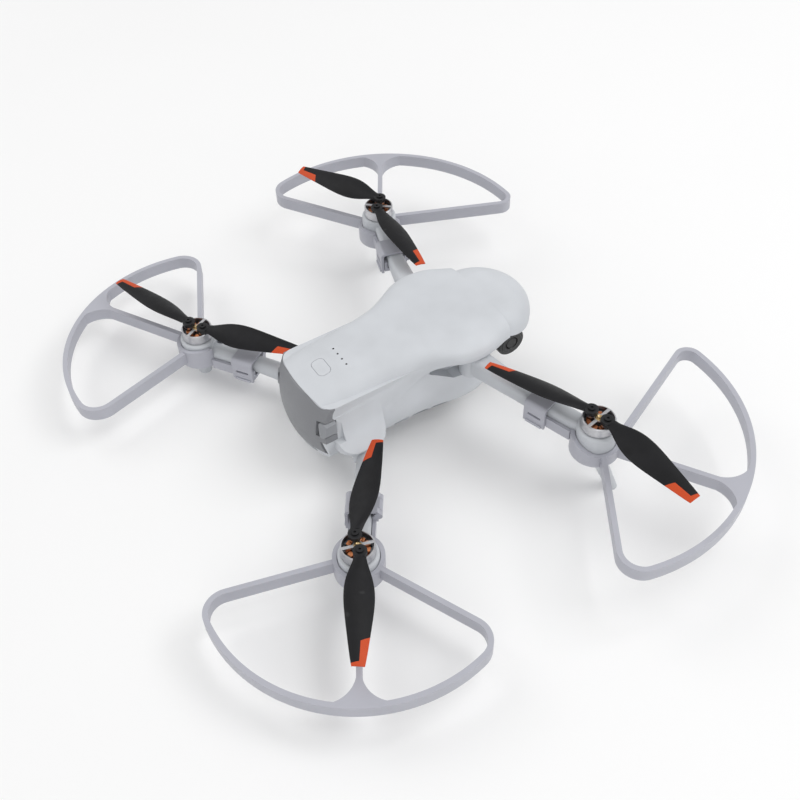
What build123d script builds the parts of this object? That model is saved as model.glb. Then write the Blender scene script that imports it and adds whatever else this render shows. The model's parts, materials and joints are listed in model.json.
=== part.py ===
"""Folding palm camera drone, standing on its legs with its arms spread and guards fitted.

Frame: origin on the ground under the middle of the drone, +Z up, the nose points along -Y and the
pilot's left side is +X.  The left-hand pieces are built and the right-hand ones are mirrored.
"""
from build123d import *
import os
from math import atan2, cos, degrees, hypot, radians, sin, sqrt

os.makedirs("parts", exist_ok=True)

# ---------------------------------------------------------------- driving dimensions (mm, degrees)
# rotors: axis position, height of the blade plane, azimuth of the two blade pins and of the blades
FRONT_ROTOR = (96.9, -59.3)
REAR_ROTOR = (83.8, 64.1)
FRONT_BLADE_Z = 54.0
REAR_BLADE_Z = 34.4
FRONT_HINGE = (26.0, -37.6)
REAR_HINGE = (30.0, 27.5)
REAR_HINGE_Z = 15.5
REAR_HINGE_AZIMUTH = -27.7
PIN_OFFSET = 4.7
BLADE_LENGTH = 55.3

# motor and blade stack, measured down from the blade plane
BELL_R = 8.0
BELL_TOP = 3.0
BELL_BOTTOM = 8.2
BELL_PLATE = 0.9
BELL_WALL = 0.7
SHAFT_R = 1.0
PAD_R = 2.9
PAD_RISE = 0.6
STATOR_R = 6.7
STATOR_TOP = 4.6
MOUNT_TOP = 8.8
MOUNT_R = 9.6
COILS = 9
ROOT_R = 3.3
ROOT_TOP = 0.4
ROOT_BOTTOM = 2.3
SCREW_R = 1.2
SCREW_HEAD_R = 1.7

# arms: beam section and its heights
BEAM_WIDTH = 9.0
BEAM_STRAIGHT = 38.0
FRONT_BEAM = (35.0, 43.4)
REAR_BEAM = (12.8, 21.6)
FRONT_MOUNT_BOTTOM = 31.0
REAR_MOUNT_BOTTOM = 13.8
KNUCKLE_R = 6.2
HINGE_PIN_R = 2.0
RUNNING = 0.06

# guards: band section, and the outline of each guard about its rotor axis
BAND_WIDTH = 2.5
BAND_HEIGHT = 7.0
RING_IN = 9.9
RING_OUT = 12.0
RAIL_IN = 4.8
RAIL_OUT = 6.4
CLIP_NEAR = 24.0
CLIP_FAR = 36.0
CLIP_WALL = 1.4
BARREL_OUT = 7.6
BARREL_R = 2.0

# body shell
WALL = 1.4
REAR_CENTRE = (0, 7.4, 32.0)
REAR_RADIUS = 45.0
BODY_HALF = 23.5
SEAM_Z = 49.0
POCKET_X = 19.3
POCKET_FLOOR = 34.8
POCKET_FRONT = -52.6
POCKET_REAR = -14.0
POCKET_SLOPE = -27.0
POCKET_REAR_FLOOR = 42.5
LIP_TOP = 18.2
CAP_SIDE_Z = 28.0

# battery
CASE_X = 18.9
CASE_Z = (18.8, 37.6)
CASE_Y = (-9.0, 44.0)

# camera
CAMERA_Y = -71.0
CAMERA_Z = 27.0

# power button and charge lights on the roof
BUTTON_Y = 33.0
LIGHT_Y = 22.4
LIGHT_PITCH = 4.2

# the nose is rounded about an upright axis: profile as (radius, height)
NOSE_CENTRE_Y = -59.8
NOSE_PROFILE = [(26.0, 38.0), (27.0, 44.0), (25.6, 50.6), (20.6, 55.0), (10.0, 57.5), (0.0, 58.2)]

# body stations from tail to nose: y, half width, lower edge of the roof, crown height
ROOF = [
    (57, 23.5, 30.0, 50.4), (47, 23.5, 30.0, 52.1), (37, 23.5, 30.0, 53.9), (27, 23.5, 30.0, 55.5),
    (17, 23.5, 30.5, 56.6), (7, 23.5, 33.5, 57.4), (-3, 23.7, 40.0, 57.9), (-12, 25.2, 46.0, 58.1),
    (-21, 29.4, 49.0, 58.2), (-30, 33.3, 49.4, 58.1), (-39, 34.3, 49.4, 58.0),
    (-48, 32.8, 49.4, 57.8), (-57, 29.0, 47.6, 57.4), (-66, 26.6, 44.4, 56.8),
    (-76, 26.4, 42.0, 55.9), (-88, 26.4, 41.0, 54.4),
]
# hull stations: y, half width, belly height
HULL = [
    (57, 23.5, 12.4), (44, 23.5, 12.0), (31, 23.5, 12.0), (18, 23.5, 12.0), (5, 23.5, 12.0),
    (-8, 23.8, 12.0), (-20, 25.2, 12.2), (-31, 27.0, 12.6), (-41, 27.4, 13.4), (-52.6, 22.0, 16.4),
]
HULL_TOP = 50.0
HULL_POWER = 7.0


def save(part, name):
    """Label a finished piece and write its STEP file."""
    part.label = name
    export_step(part, f"parts/{name}.step")


def save_both(part, name):
    """Write a left-hand piece and its mirror image."""
    save(part, f"{name}_left")
    save(mirror(part, about=Plane.YZ), f"{name}_right")


# ---------------------------------------------------------------- body volumes
def cross_plane(y):
    """Plane across the body at y, with local x along X and local y along Z."""
    return Plane(origin=(0, y, 0), x_dir=(1, 0, 0), z_dir=(0, -1, 0))


def arch_points(half, base, crown, power, count=16):
    """Points of a rounded arch from (half, base) over (0, crown) to (-half, base)."""
    right = []
    for i in range(1, count // 2):
        angle = radians(180 * i / count)
        x = half * cos(angle) ** (2 / power)
        right.append((x, base + (crown - base) * sin(angle) ** (2 / power)))
    left = [(-x, z) for x, z in reversed(right)]
    return [(half, base), *right, (0, crown), *left, (-half, base)]


def arch_section(y, half, base, crown, power):
    """Closed arch profile across the body at y."""
    with BuildSketch(cross_plane(y)) as section:
        with BuildLine():
            Spline(*arch_points(half, base, crown, power))
            Line((-half, base), (half, base))
        make_face()
    return section.sketch


def arch_loft(stations, power=4.0):
    """Loft through arch profiles, each given as (y, half width, base height, crown height)."""
    with BuildPart() as body:
        loft(sections=[arch_section(*station, power) for station in stations])
    return body.part


def block(low, high):
    """Box between two corners."""
    with BuildPart() as box:
        with BuildSketch(Plane.XY.offset(low[2])):
            with Locations(((low[0] + high[0]) / 2, (low[1] + high[1]) / 2)):
                Rectangle(high[0] - low[0], high[1] - low[1])
        extrude(amount=high[2] - low[2])
    return box.part


roof_outer = arch_loft(ROOF)
hull_outer = arch_loft([(y, half, HULL_TOP, belly) for y, half, belly in HULL], HULL_POWER)

# the tail is rounded like part of a ball
with BuildPart() as tail_limit:
    with Locations(REAR_CENTRE):
        Sphere(REAR_RADIUS)
    add(block((-60, -100, 0), (60, 30, 80)))

# both arms leave the body through an open pocket between the roof and a ledge on the hull
with BuildPart() as pockets:
    with BuildSketch(Plane.YZ.offset(POCKET_X)):
        Polygon(
            (POCKET_FRONT - 5, SEAM_Z), (POCKET_FRONT - 5, POCKET_FLOOR), (POCKET_SLOPE, POCKET_FLOOR),
            (POCKET_REAR, POCKET_REAR_FLOOR), (POCKET_REAR, SEAM_Z), align=None,
        )
    extrude(amount=45 - POCKET_X)
    mirror(about=Plane.YZ)

def nose_limit(inset):
    """Round nose, joined to a block that leaves the rest of the body alone."""
    profile = [(max(radius - inset, 0), height - inset) for radius, height in NOSE_PROFILE]
    with BuildPart() as limit:
        with BuildSketch(Plane(origin=(0, NOSE_CENTRE_Y, 0), x_dir=(1, 0, 0), z_dir=(0, -1, 0))):
            with BuildLine():
                Spline(*profile, tangents=[(0.3, 1), (-1, 0)])
                Polyline(profile[-1], (0, profile[0][1]), profile[0])
            make_face()
        revolve(axis=Axis((0, NOSE_CENTRE_Y, 0), (0, 0, 1)))
        add(block((-60, NOSE_CENTRE_Y, 0), (60, 100, 80)))
    return limit.part


with BuildPart() as outer:
    add(roof_outer & nose_limit(0))
    add(hull_outer)
    add(tail_limit.part, mode=Mode.INTERSECT)
    add(pockets.part - roof_outer, mode=Mode.SUBTRACT)


def inner_roof():
    """Stations of the roof's inner surface."""
    inside = []
    for y, half, lower, crown in ROOF:
        base = SEAM_Z + WALL if -50 < y < -10 else lower + WALL
        inside.append((y, min(half, BODY_HALF) - WALL, base if y < 0 else lower - 1.0, crown - WALL))
    return inside


SPINE_X = POCKET_X - WALL

with BuildPart() as shell:
    add(outer.part)
    add(arch_loft(inner_roof()) & nose_limit(WALL), mode=Mode.SUBTRACT)
    hull_inner = [(y, half - WALL, 33.4, belly + WALL) for y, half, belly in HULL[:-1]]
    add(arch_loft(hull_inner, HULL_POWER), mode=Mode.SUBTRACT)
    add(block((-SPINE_X, -51.0, 30.0), (SPINE_X, 20.0, SEAM_Z + 2.6)), mode=Mode.SUBTRACT)
    add(block((WALL - BODY_HALF, -12.4, 30.0), (BODY_HALF - WALL, 20.0, 39.6)), mode=Mode.SUBTRACT)

# the seam between roof and hull, seen from the side as (y, z)
with BuildPart() as roof_zone:
    with BuildSketch(Plane.YZ.offset(-60)):
        Polygon(
            (70, LIP_TOP), (11.0, LIP_TOP), (10.9, 29.0), (10.0, 36.0), (5.4, SEAM_Z),
            (-53.2, SEAM_Z), (-53.2, 25), (-100, 25), (-100, 80), (70, 80), align=None,
        )
    extrude(amount=120)


def cap_zone(gap):
    """Space of the battery's tail cap: everything behind a curve across the tail."""
    side_y = 36.5 + gap
    with BuildPart() as zone:
        with BuildSketch(Plane.XY.offset(CAP_SIDE_Z + gap)):
            with BuildLine():
                Spline(
                    (BODY_HALF, side_y), (21.4, 42.6 + gap), (12.0, 46.0 + gap), (0, 46.8 + gap),
                    (-12.0, 46.0 + gap), (-21.4, 42.6 + gap), (-BODY_HALF, side_y),
                )
                Polyline((-BODY_HALF, side_y), (-40, side_y), (-40, 70), (40, 70), (40, side_y),
                         (BODY_HALF, side_y))
            make_face()
        extrude(amount=50)
        add(block((gap - 20.25, CASE_Y[1] + gap, LIP_TOP + 2 * gap), (20.25 - gap, 70, CAP_SIDE_Z + 1)))
    return zone.part


def cylinder_along(start, direction, radius, length):
    """Round bar from a start point along a direction."""
    with BuildPart() as bar:
        with BuildSketch(Plane(origin=start, z_dir=direction)):
            Circle(radius)
        extrude(amount=length)
    return bar.part


rear_axis = Vector(cos(radians(REAR_HINGE_AZIMUTH)), sin(radians(REAR_HINGE_AZIMUTH)), 0)
rear_knuckle = Vector(REAR_HINGE[0], REAR_HINGE[1], REAR_HINGE_Z)


def hinge_pins(radius):
    """The four arm hinge pins, or with a larger radius their holes."""
    front = cylinder_along((*FRONT_HINGE, 31.5), (0, 0, 1), radius, 23.0)
    rear = cylinder_along(rear_knuckle - rear_axis * 11.0, rear_axis, radius, 16.6)
    with BuildPart() as pins:
        add(front)
        add(rear)
        mirror(about=Plane.YZ)
    return pins.part


# latch buttons at the tail's upper corners, each in a pocket of the cap and the roof
LATCH_LOW = (-26.0, 39.6, 32.8)
LATCH_HIGH = (-20.5, 50.0, 41.6)
LATCH_GAP = 0.45
LATCH_TRAVEL = 1.5

with BuildPart() as latch_pocket:
    add(block(
        (LATCH_LOW[0], LATCH_LOW[1] - LATCH_GAP, LATCH_LOW[2] - LATCH_GAP),
        (LATCH_HIGH[0] + LATCH_TRAVEL + LATCH_GAP, LATCH_HIGH[1] + LATCH_GAP, LATCH_HIGH[2] + LATCH_GAP),
    ))

# ---------------------------------------------------------------- roof with button and lights
with BuildPart() as button_hole:
    with BuildSketch(Plane.XY.offset(52.4)) as button_outline:
        with Locations((0, BUTTON_Y)):
            RectangleRounded(11.0, 6.6, 2.6)
    extrude(amount=10)

with BuildPart() as button_gap:
    with BuildSketch(Plane.XY.offset(50)):
        with Locations((0, BUTTON_Y)):
            RectangleRounded(11.4, 7.0, 2.8)
    extrude(amount=12)


def light_rods(radius):
    """Four round rods through the roof."""
    with BuildPart() as rods:
        with BuildSketch(Plane.XY.offset(53.2)):
            with Locations((0, LIGHT_Y)):
                with GridLocations(LIGHT_PITCH, 1, 4, 1):
                    Circle(radius)
        extrude(amount=8)
    return rods.part


def damper_posts(radius):
    """Four short posts that hold the camera bracket under the nose."""
    with BuildPart() as posts:
        with BuildSketch(Plane.XY.offset(40.5)):
            with Locations((0, CAMERA_Y)):
                with GridLocations(16.0, 8.0, 2, 2):
                    Circle(radius)
        extrude(amount=6.0)
    return posts.part


# the sides flare out into a skirt over each rear arm hinge: profile as (x, z)
FAIRING_X = 21.2
FAIRING_FLARE = [(23.2, 43.0), (24.0, 35.5), (26.2, 29.0), (29.6, 25.0), (33.0, 22.9)]
with BuildPart() as rear_fairings:
    with BuildSketch(Plane(origin=(0, 44.0, 0), x_dir=(1, 0, 0), z_dir=(0, -1, 0))):
        with BuildLine():
            Spline(*FAIRING_FLARE)
            Polyline(FAIRING_FLARE[-1], (33.0, 22.2), (FAIRING_X, 22.2), (FAIRING_X, 43.0), FAIRING_FLARE[0])
        make_face()
    extrude(amount=32.0)
    with BuildSketch(Plane.XY.offset(20)) as fairing_outline:
        with Locations((FAIRING_X, REAR_HINGE[1])):
            RectangleRounded(2 * (33.0 - FAIRING_X), 27.0, 9.0)
    extrude(amount=30, mode=Mode.INTERSECT)
    mirror(about=Plane.YZ)

with BuildPart() as top_shell:
    add(shell.part)
    add(roof_zone.part, mode=Mode.INTERSECT)
    add(rear_fairings.part)
    add(cap_zone(0), mode=Mode.SUBTRACT)
    add(latch_pocket.part, mode=Mode.SUBTRACT)
    add(mirror(latch_pocket.part, about=Plane.YZ), mode=Mode.SUBTRACT)
    add(button_gap.part, mode=Mode.SUBTRACT)
    add(light_rods(0.52), mode=Mode.SUBTRACT)
    add(hinge_pins(HINGE_PIN_R + 0.02), mode=Mode.SUBTRACT)
    add(damper_posts(1.55), mode=Mode.SUBTRACT)
save(top_shell.part, "top_shell")

with BuildPart() as power_button:
    add(button_hole.part)
    add(roof_outer, mode=Mode.INTERSECT)
    with Locations((0, BUTTON_Y, 49.6)):
        Cylinder(1.5, 3.0, align=(Align.CENTER, Align.CENTER, Align.MIN))
save(power_button.part, "power_button")

with BuildPart() as led_light_guides:
    add(light_rods(0.5))
    add(roof_outer, mode=Mode.INTERSECT)
save(led_light_guides.part, "led_light_guides")

# ---------------------------------------------------------------- hull
VENT_Z = 16.6
VENTS = [(1.6, 8.8), (-9.2, 9.4), (-20.2, 9.0)]
PORT_X = -10.0
PORT_Z = 16.2
SENSOR_Y = -26.0
SCREW_SEAT = 14.4
SCREW_SPOTS = [(17.0, 30.0), (17.0, -2.0), (12.0, -43.0)]

with BuildPart() as vents:
    for vent_y, vent_length in VENTS:
        with BuildSketch(Plane.YZ.offset(21.0)):
            with Locations((vent_y, VENT_Z)):
                SlotOverall(vent_length, 1.7)
        extrude(amount=10)
    mirror(about=Plane.YZ)

# bosses for the rear hinge pins, cut back to clear the battery bay
with BuildPart() as rear_bosses:
    add(cylinder_along(rear_knuckle - rear_axis * 14.0, rear_axis, 4.2, 9.0))
    mirror(about=Plane.YZ)
    add(block((-20.9, 20, 16.9), (20.9, 50, 30)), mode=Mode.SUBTRACT)
    add(block((-40, 20, LIP_TOP), (40, 50, 30)), mode=Mode.SUBTRACT)

with BuildPart() as bottom_shell:
    add(shell.part)
    add(roof_zone.part, mode=Mode.SUBTRACT)
    add(outer.part & block((-21.5, 42.4, 12.0), (21.5, 60, LIP_TOP)))
    for x, y in SCREW_SPOTS:
        with BuildSketch(Plane.XY.offset(12.8)):
            with Locations((x, y), (-x, y)):
                Circle(2.8)
        extrude(amount=4.2)
    add(rear_bosses.part)
    add(cap_zone(0), mode=Mode.SUBTRACT)
    add(vents.part, mode=Mode.SUBTRACT)
    for x, y in SCREW_SPOTS:
        for start, radius in ((5.0, 1.9), (SCREW_SEAT, 0.92)):
            with BuildSketch(Plane.XY.offset(start)):
                with Locations((x, y), (-x, y)):
                    Circle(radius)
            extrude(amount=SCREW_SEAT - start if start < SCREW_SEAT else 4, mode=Mode.SUBTRACT)
    add(hinge_pins(HINGE_PIN_R + 0.02), mode=Mode.SUBTRACT)
    with BuildSketch(Plane.XZ.offset(-60)):
        with Locations((PORT_X, PORT_Z)):
            SlotOverall(9.4, 3.4)
    extrude(amount=20, mode=Mode.SUBTRACT)
    with BuildSketch(Plane.XY.offset(5)):
        with Locations((0, SENSOR_Y)):
            RectangleRounded(30.0, 13.0, 4.0)
    extrude(amount=12, mode=Mode.SUBTRACT)
save(bottom_shell.part, "bottom_shell")

with BuildPart() as usb_port:
    with BuildSketch(Plane.XZ.offset(-45.6)):
        with Locations((PORT_X, PORT_Z)):
            SlotOverall(9.0, 3.0)
            SlotOverall(8.2, 2.2, mode=Mode.SUBTRACT)
    extrude(amount=6)
    with BuildSketch(Plane.XZ.offset(-44.0)):
        with Locations((PORT_X, PORT_Z)):
            Rectangle(6.4, 0.7)
    extrude(amount=4.0)
    with BuildSketch(Plane.XZ.offset(-40.4)):
        with Locations((PORT_X, PORT_Z)):
            SlotOverall(9.0, 3.0)
    extrude(amount=0.8)
save(usb_port.part, "usb_port")

with BuildPart() as shell_screws:
    for x, y in SCREW_SPOTS:
        for start, radius, length in ((SCREW_SEAT, 0.9, 2.4), (SCREW_SEAT - 0.9, 1.7, 0.9)):
            with BuildSketch(Plane.XY.offset(start)):
                with Locations((x, y)):
                    Circle(radius)
            extrude(amount=length)
    mirror(about=Plane.YZ)
save(shell_screws.part, "shell_screws")

# ---------------------------------------------------------------- inside the body
BAY_WALL = 1.1
BAY_GAP = 0.4
BAY_FRONT = 2.2

with BuildPart() as battery_bay:
    bay_low = CASE_Z[0] - BAY_GAP - BAY_WALL
    bay_height = CASE_Z[1] - CASE_Z[0] + 2 * (BAY_GAP + BAY_WALL)
    with BuildSketch(Plane.XZ.offset(-36.0)):
        with Locations((0, bay_low + bay_height / 2)):
            RectangleRounded(2 * (CASE_X + BAY_GAP + BAY_WALL), bay_height, 3.5)
            RectangleRounded(2 * (CASE_X + BAY_GAP), bay_height - 2 * BAY_WALL, 3.0, mode=Mode.SUBTRACT)
    extrude(amount=36.0 - CASE_Y[0] + BAY_FRONT)
    with BuildSketch(Plane.XZ.offset(-CASE_Y[0] + BAY_FRONT)):
        with Locations((0, bay_low + bay_height / 2)):
            RectangleRounded(2 * (CASE_X + BAY_GAP + BAY_WALL), bay_height, 3.5)
            Rectangle(16.6, 5.0, mode=Mode.SUBTRACT)
    extrude(amount=BAY_WALL)
save(battery_bay.part, "battery_bay")

with BuildPart() as battery_contacts:
    with BuildSketch(Plane.XZ.offset(-CASE_Y[0] + 1.6)):
        with Locations((0, bay_low + bay_height / 2)):
            Rectangle(16.2, 4.6)
    extrude(amount=4.6)
    fillet(battery_contacts.edges().filter_by(Axis.Y), 0.8)
save(battery_contacts.part, "battery_contacts")

with BuildPart() as battery_case:
    with BuildSketch(Plane.XZ.offset(-CASE_Y[1])):
        with Locations((0, sum(CASE_Z) / 2)):
            RectangleRounded(2 * CASE_X, CASE_Z[1] - CASE_Z[0], 2.6)
    extrude(amount=CASE_Y[1] - CASE_Y[0])
    with BuildSketch(Plane.XZ.offset(-CASE_Y[1] + 1.2)):
        with Locations((0, sum(CASE_Z) / 2)):
            RectangleRounded(2 * CASE_X - 2.4, CASE_Z[1] - CASE_Z[0] - 2.4, 1.6)
    extrude(amount=CASE_Y[1] - CASE_Y[0] - 2.4, mode=Mode.SUBTRACT)
save(battery_case.part, "battery_case")

with BuildPart() as battery_cells:
    with BuildSketch(Plane.XZ.offset(-CASE_Y[1] + 4.0)):
        for side in (-1, 1):
            with Locations((side * 8.7, sum(CASE_Z) / 2)):
                RectangleRounded(16.8, CASE_Z[1] - CASE_Z[0] - 3.0, 1.4)
    extrude(amount=CASE_Y[1] - CASE_Y[0] - 7.0)
save(battery_cells.part, "battery_cells")

# tail cap with a pocket for each latch button
with BuildPart() as battery_cap:
    add(outer.part)
    add(cap_zone(0.12), mode=Mode.INTERSECT)
    add(outer.part & block((-18.4, CASE_Y[1] + 0.02, 19.0), (18.4, 60, 37.4)))
    add(block((-23.3, 30, 15), (23.3, 60, 60)), mode=Mode.INTERSECT)
    add(latch_pocket.part, mode=Mode.SUBTRACT)
    add(mirror(latch_pocket.part, about=Plane.YZ), mode=Mode.SUBTRACT)
save(battery_cap.part, "battery_cap")

with BuildPart() as latch:
    with Locations(REAR_CENTRE):
        Sphere(REAR_RADIUS + 0.7)
    add(block(LATCH_LOW, (LATCH_HIGH[0], 47.4, LATCH_HIGH[2])), mode=Mode.INTERSECT)
    add(block((-BODY_HALF - 0.8, 30, 20), (0, 60, 50)), mode=Mode.INTERSECT)
    chamfer(latch.edges().filter_by(Axis.Y).group_by(Axis.X)[0], 1.2)
save(latch.part, "battery_latch_right")
save(mirror(latch.part, about=Plane.YZ), "battery_latch_left")

BOARD_Z = 40.4
with BuildPart() as main_board:
    with BuildSketch(Plane.XY.offset(BOARD_Z)):
        with Locations((0, -6.0)):
            RectangleRounded(34.0, 76.0, 2.0)
    extrude(amount=1.2)
    for x, y, wide, deep, tall in ((0, -22, 13, 13, 1.4), (-9, 6, 9, 9, 1.2), (8, 10, 10, 7, 1.6)):
        with BuildSketch(Plane.XY.offset(BOARD_Z + 1.2)):
            with Locations((x, y)):
                Rectangle(wide, deep)
        extrude(amount=tall)
save(main_board.part, "main_board")

with BuildPart() as heat_sink:
    with BuildSketch(Plane.XY.offset(BOARD_Z + 3.0)):
        with Locations((0, -22)):
            Rectangle(30.0, 34.0)
    extrude(amount=1.0)
    with BuildSketch(Plane.XY.offset(BOARD_Z + 4.0)):
        with Locations((0, -22)):
            with GridLocations(3.2, 1, 9, 1):
                Rectangle(0.8, 32.0)
    extrude(amount=3.4)
save(heat_sink.part, "heat_sink")

with BuildPart() as gps_module:
    with BuildSketch(Plane.XY.offset(50.6)):
        with Locations((0, -30)):
            RectangleRounded(22.0, 22.0, 1.5)
    extrude(amount=1.0)
    with BuildSketch(Plane.XY.offset(51.6)):
        with Locations((0, -30)):
            Rectangle(18.0, 18.0)
    extrude(amount=3.6)
save(gps_module.part, "gps_module")

with BuildPart() as sensor_module:
    with BuildSketch(Plane.XY.offset(15.0)):
        with Locations((0, SENSOR_Y)):
            RectangleRounded(32.0, 14.6, 2.0)
    extrude(amount=1.2)
    with BuildSketch(Plane.XY.offset(16.2)):
        with Locations((0, SENSOR_Y)):
            Rectangle(24.0, 9.0)
    extrude(amount=6.0)
save(sensor_module.part, "sensor_module")

with BuildPart() as sensor_window:
    with BuildSketch(Plane.XY.offset(12.5)):
        with Locations((0, SENSOR_Y)):
            RectangleRounded(29.8, 12.8, 3.9)
    extrude(amount=1.3)
save(sensor_window.part, "sensor_window")

# ---------------------------------------------------------------- camera under the nose
CAMERA_HALF = 9.0
LENS_R = 7.2
YOKE_X = 10.4
MOTOR_CAP_R = 8.2

with BuildPart() as camera_bracket:
    with BuildSketch(Plane.XY.offset(39.2)):
        with Locations((0, CAMERA_Y)):
            RectangleRounded(24.0, 14.0, 3.0)
    extrude(amount=2.2)
    add(damper_posts(1.5))
    with BuildSketch(Plane.YZ.offset(YOKE_X)):
        with Locations((CAMERA_Y, 33.5)):
            Rectangle(10.0, 13.0)
        with Locations((CAMERA_Y, CAMERA_Z)):
            Circle(5.0)
            Circle(1.56, mode=Mode.SUBTRACT)
    extrude(amount=1.6)
    mirror(about=Plane.YZ)
save(camera_bracket.part, "camera_bracket")

with BuildPart() as camera_tilt_motor:
    with BuildSketch(Plane.YZ.offset(-YOKE_X - 1.7)):
        with Locations((CAMERA_Y, CAMERA_Z)):
            Circle(MOTOR_CAP_R)
    extrude(amount=-3.8)
    fillet(camera_tilt_motor.edges().group_by(Axis.X)[0], 1.2)
save(camera_tilt_motor.part, "camera_tilt_motor")

with BuildPart() as camera_housing:
    with BuildSketch(Plane.YZ.offset(-CAMERA_HALF)):
        with Locations((CAMERA_Y, CAMERA_Z)):
            RectangleRounded(17.0, 17.0, 6.0)
    extrude(amount=2 * CAMERA_HALF)
    fillet(camera_housing.edges().group_by(Axis.X)[0] + camera_housing.edges().group_by(Axis.X)[-1], 1.5)
    with BuildSketch(Plane.YZ.offset(-YOKE_X - 1.5)):
        with Locations((CAMERA_Y, CAMERA_Z)):
            Circle(1.5)
    extrude(amount=2 * YOKE_X + 3.0)
    with BuildSketch(Plane.XZ.offset(-CAMERA_Y + 6.0)):
        with Locations((0, CAMERA_Z)):
            Circle(LENS_R)
    extrude(amount=10, mode=Mode.SUBTRACT)
save(camera_housing.part, "camera_housing")

with BuildPart() as camera_lens_barrel:
    with BuildSketch(Plane.XZ.offset(-CAMERA_Y + 6.0)):
        with Locations((0, CAMERA_Z)):
            Circle(LENS_R - 0.05)
            Circle(4.2, mode=Mode.SUBTRACT)
    extrude(amount=6.0)
    with BuildSketch(Plane.XZ.offset(-CAMERA_Y + 6.0)):
        with Locations((0, CAMERA_Z)):
            Circle(LENS_R - 0.05)
    extrude(amount=1.2)
save(camera_lens_barrel.part, "camera_lens_barrel")

with BuildPart() as camera_lens_glass:
    with BuildSketch(Plane.XZ.offset(-CAMERA_Y + 10.2)):
        with Locations((0, CAMERA_Z)):
            Circle(4.15)
    extrude(amount=1.0)
save(camera_lens_glass.part, "camera_lens_glass")

save(hinge_pins(HINGE_PIN_R), "arm_hinge_pins")


# ---------------------------------------------------------------- arms, in their own frame
# The rotor axis is at x = y = 0, the arm runs inward along -X, and heights are the real ones.
FRONT_LENGTH = hypot(FRONT_ROTOR[0] - FRONT_HINGE[0], FRONT_ROTOR[1] - FRONT_HINGE[1])
FRONT_AZIMUTH = degrees(atan2(FRONT_ROTOR[1] - FRONT_HINGE[1], FRONT_ROTOR[0] - FRONT_HINGE[0]))
REAR_LENGTH = hypot(REAR_ROTOR[0] - REAR_HINGE[0], REAR_ROTOR[1] - REAR_HINGE[1])
REAR_AZIMUTH = degrees(atan2(REAR_ROTOR[1] - REAR_HINGE[1], REAR_ROTOR[0] - REAR_HINGE[0]))


def along_plane(x, z):
    """Plane across the arm at x, with local x along Y and local y along Z."""
    return Plane(origin=(x, 0, z), x_dir=(0, 1, 0), z_dir=(1, 0, 0))


def disc(height, radius, thickness):
    """Round plate on the rotor axis, from a height upward."""
    with BuildPart() as plate:
        with BuildSketch(Plane.XY.offset(height)):
            Circle(radius)
        extrude(amount=thickness)
    return plate.part


def beam(stations):
    """Rounded bar through (x, centre height, width, height, corner radius) stations."""
    with BuildPart() as bar:
        for near, far in zip(stations, stations[1:]):
            for x, z, width, height, corner in (near, far):
                with BuildSketch(along_plane(x, z)):
                    RectangleRounded(width, height, corner)
            loft()
    return bar.part


with BuildPart() as front_arm:
    low, high = FRONT_BEAM
    middle = (low + high) / 2
    add(disc(FRONT_MOUNT_BOTTOM, MOUNT_R, FRONT_BLADE_Z - MOUNT_TOP - FRONT_MOUNT_BOTTOM))
    fillet(front_arm.edges().group_by(Axis.Z)[-1], 1.4)
    add(beam([(-2.0, middle, BEAM_WIDTH, high - low, 2.2), (-BEAM_STRAIGHT, middle, BEAM_WIDTH, high - low, 2.2),
              (4.0 - FRONT_LENGTH, 41.9, 11.0, 12.4, 2.8)]))
    with BuildSketch(Plane.XY.offset(POCKET_FLOOR + 0.4)):
        with Locations((-FRONT_LENGTH, 0)):
            Circle(KNUCKLE_R)
    extrude(amount=SEAM_Z - POCKET_FLOOR - 0.8)
    with BuildSketch(Plane.XY.offset(POCKET_FLOOR)):
        with Locations((-FRONT_LENGTH, 0)):
            Circle(HINGE_PIN_R + RUNNING)
    extrude(amount=20, mode=Mode.SUBTRACT)
    # leg: a tapered fin leaning outward, its foot on the ground
    with BuildSketch(Plane.XY.offset(FRONT_MOUNT_BOTTOM + 0.5)):
        RectangleRounded(9.6, 5.6, 2.2)
    extrude(amount=-3.0)
    with BuildSketch(Plane.XY.offset(FRONT_MOUNT_BOTTOM - 2.5)):
        RectangleRounded(9.6, 5.6, 2.2)
    with BuildSketch(Plane.XY.offset(1.0)):
        with Locations((8.5, -7.5)):
            RectangleRounded(6.6, 4.0, 1.6)
    loft()
    with BuildSketch(Plane.XY):
        with Locations((8.5, -7.5)):
            RectangleRounded(6.6, 4.0, 1.6)
    extrude(amount=1.0)
    add(disc(FRONT_BLADE_Z - MOUNT_TOP - 4.0, 1.1, 6.0), mode=Mode.SUBTRACT)

knuckle_azimuth = radians(REAR_HINGE_AZIMUTH - REAR_AZIMUTH)
knuckle_axis = Vector(cos(knuckle_azimuth), sin(knuckle_azimuth), 0)
knuckle_centre = Vector(-REAR_LENGTH, 0, REAR_HINGE_Z)

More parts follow.
